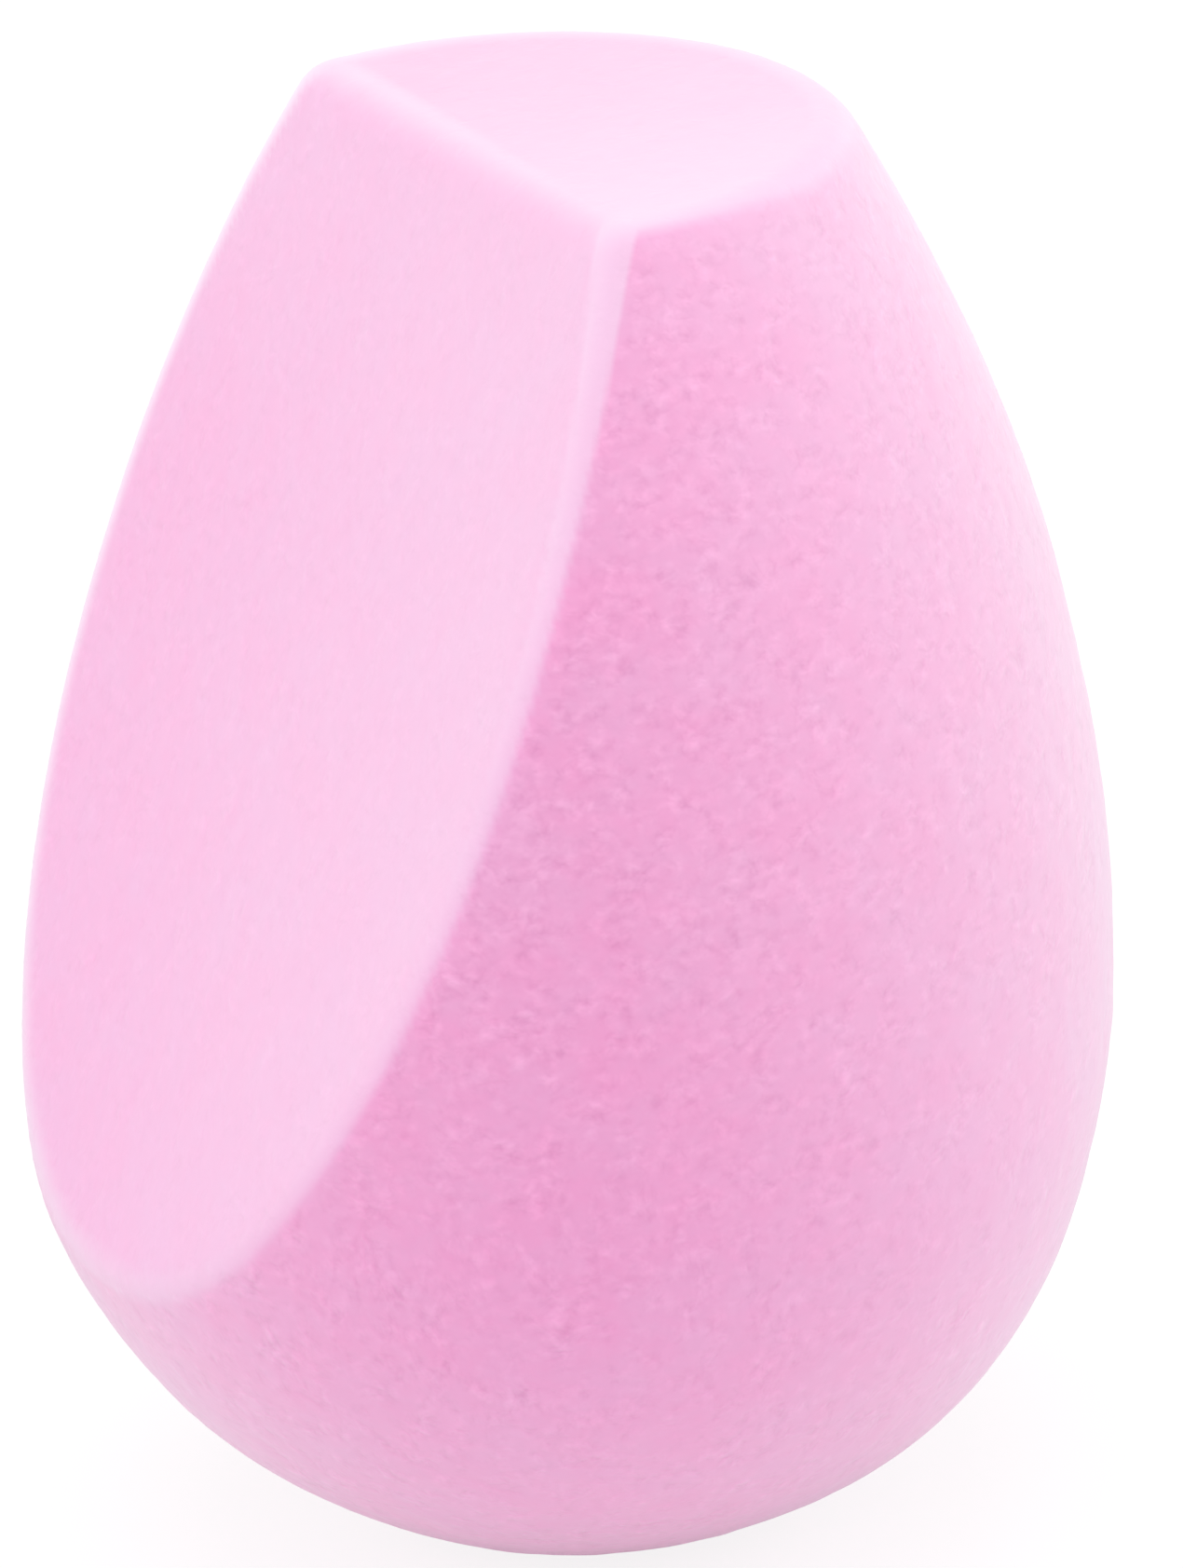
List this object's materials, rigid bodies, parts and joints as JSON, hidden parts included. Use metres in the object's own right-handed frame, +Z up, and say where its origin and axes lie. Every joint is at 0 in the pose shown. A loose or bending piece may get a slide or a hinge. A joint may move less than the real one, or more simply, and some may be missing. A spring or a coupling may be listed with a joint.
{
  "type": "makeup sponge",
  "caption": "Egg-shaped makeup sponge with a rounded bottom, a flat top and one large flat side cut, its foam covered in soft flocked microfibre.",
  "frame": {"origin": "middle of the small flat at the bottom of the rounded end, where the sponge stands, on the axis of the round body", "axes": "+Z up the axis of the round body to the flat top, -X towards the side cut, the XZ plane is the plane of symmetry"},
  "size_m": [0.044, 0.045, 0.0592],
  "materials": {
    "foam": "fine open-cell polyurethane foam, matte, dyed pink through",
    "adhesive": "thin flexible acrylic flocking adhesive, milky and matte",
    "flock": "short dense microfibre flock, pastel pink, velvety with a soft pale sheen at grazing angles"
  },
  "bodies": {
    "root": {"foam_core": "foam", "adhesive_film": "adhesive", "flock_skin": "flock"}
  },
  "joints": []
}
